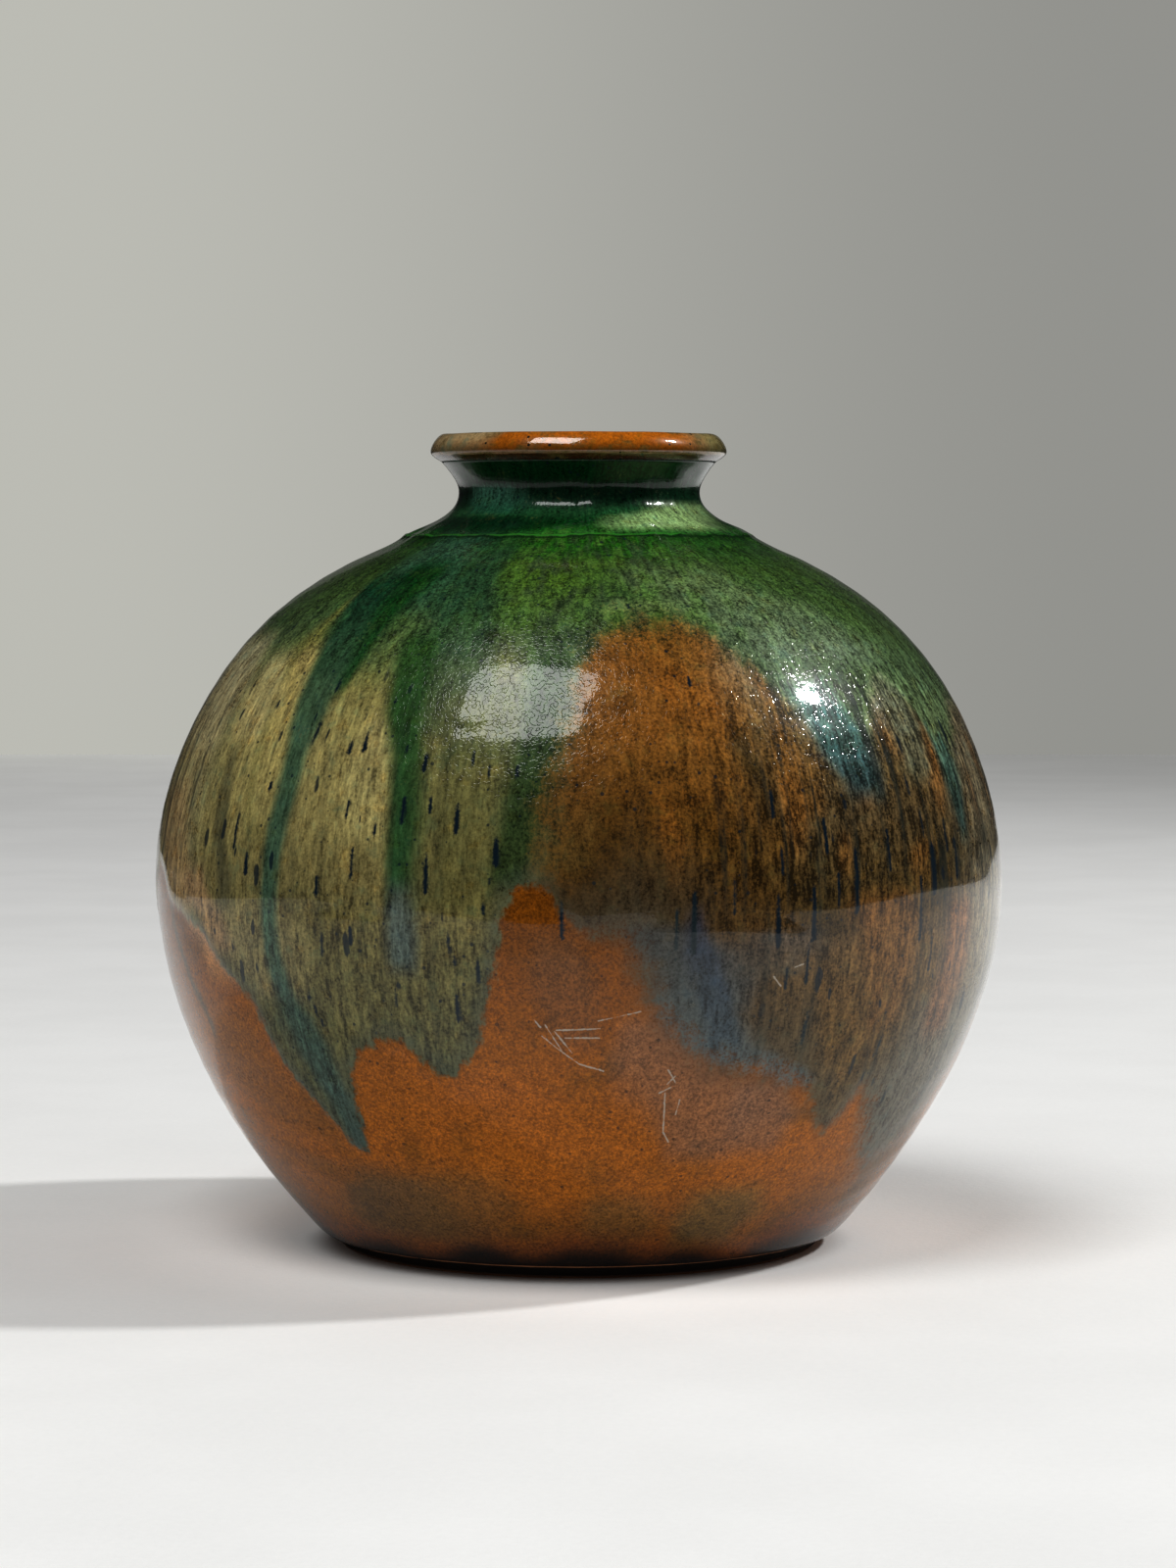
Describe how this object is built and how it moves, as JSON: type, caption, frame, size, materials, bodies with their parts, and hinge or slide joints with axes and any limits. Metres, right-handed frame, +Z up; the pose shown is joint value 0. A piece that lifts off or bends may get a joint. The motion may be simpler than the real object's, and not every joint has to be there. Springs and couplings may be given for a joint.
{
  "type": "vase",
  "caption": "Globe-shaped earthenware vase with a short flared neck, a rolled rim, a recessed foot ring and a run glaze over a honey-brown glaze",
  "frame": {"origin": "on the axis of the vase, on the table that the foot ring stands on", "axes": "+Z up along the axis from the foot to the mouth; -Y towards the side that the picture shows; +X to that view's right"},
  "size_m": [0.2192, 0.2192, 0.21],
  "materials": {
    "clay": "matte",
    "slip": "matte",
    "honey_glaze": "gloss",
    "run_glaze": "gloss",
    "rim_glaze": "gloss",
    "lining_glaze": "gloss"
  },
  "bodies": {
    "root": {"body_globe": "clay", "neck_collar": "clay", "rim_roll": "clay", "foot_ring": "clay", "neck_luting_slip": "slip", "rim_luting_slip": "slip", "foot_luting_slip": "slip", "honey_glaze_coat": "honey_glaze", "run_glaze_coat": "run_glaze", "rim_glaze": "rim_glaze", "inner_glaze_lining": "lining_glaze"}
  },
  "joints": []
}
